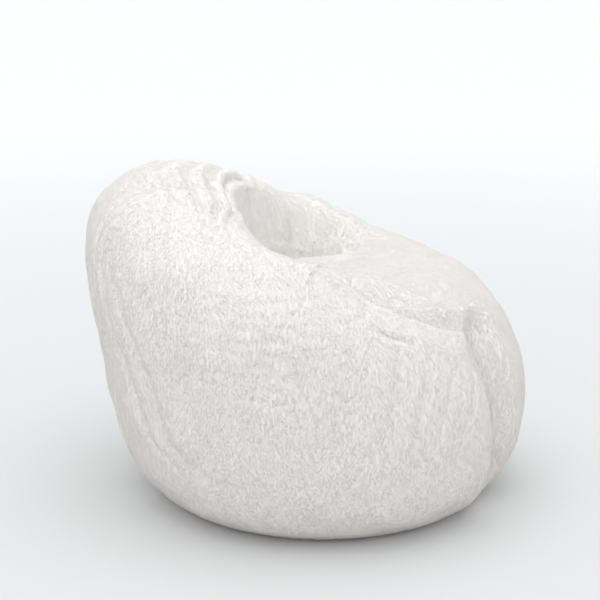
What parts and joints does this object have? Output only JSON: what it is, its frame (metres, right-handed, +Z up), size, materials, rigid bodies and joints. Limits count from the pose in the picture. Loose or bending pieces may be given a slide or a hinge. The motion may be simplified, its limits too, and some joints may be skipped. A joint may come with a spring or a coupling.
{
  "type": "bean bag chair",
  "caption": "Tub-shaped bean bag chair: a bead-filled inner bag with a seat, two arms and a raised back, in a zipped long-pile cover.",
  "frame": {"origin": "on the floor, under the middle of the chair's outline", "axes": "+Z up; -Y towards the front, where the sitter's legs hang; +X towards the sitter's left"},
  "size_m": [0.9, 0.9153, 0.6823],
  "materials": {
    "pile": "long white pile fabric, brushed, matt with a soft sheen",
    "base_cloth": "plain woven base cloth, matt",
    "bag_cloth": "thin plain-woven lining, matt",
    "zip_tape": "tight woven tape, matt",
    "zip_teeth": "moulded plastic teeth, satin",
    "zip_metal": "nickel-plated die casting, satin",
    "label": "smooth satin ribbon, blank",
    "beads": "expanded polystyrene beads, matt"
  },
  "bodies": {
    "chair": {"side_panel_right": "pile", "side_panel_left": "pile", "front_seat_panel": "pile", "inner_back_panel": "pile", "back_panel_right": "pile", "back_panel_left": "pile", "base_panel": "base_cloth", "care_label": "label", "zip_tape_right": "zip_tape", "zip_tape_left": "zip_tape", "zip_teeth_right": "zip_teeth", "zip_teeth_left": "zip_teeth", "zip_top_stop": "zip_metal", "zip_bottom_stop": "zip_metal", "inner_bag": "bag_cloth", "seat_divider": "bag_cloth", "front_baffle_right": "bag_cloth", "front_baffle_left": "bag_cloth", "back_baffle_right": "bag_cloth", "back_baffle_left": "bag_cloth", "bag_zip_tapes": "zip_tape", "bag_zip_teeth": "zip_teeth", "seat_fill": "beads", "arm_fill_right": "beads", "arm_fill_left": "beads", "back_fill": "beads"},
    "cover_slider": {"zip_slider": "zip_metal"},
    "pull_tab": {"zip_pull": "zip_metal"},
    "bag_slider": {"bag_zip_slider": "zip_metal"}
  },
  "joints": [
    {"name": "cover_zip", "type": "slide", "parent": "chair", "child": "cover_slider", "axis": [0, -0.1621, -0.9868], "range_m": [0, 0.24]},
    {"name": "pull_tab_hinge", "type": "hinge", "parent": "cover_slider", "child": "pull_tab", "pos_m": [0, 0.44993, 0.45695], "axis": [1, 0, 0], "range_deg": [0, 140]},
    {"name": "bag_zip", "type": "slide", "parent": "chair", "child": "bag_slider", "axis": [0, -0.1621, -0.9868], "range_m": [0, 0.2]}
  ]
}
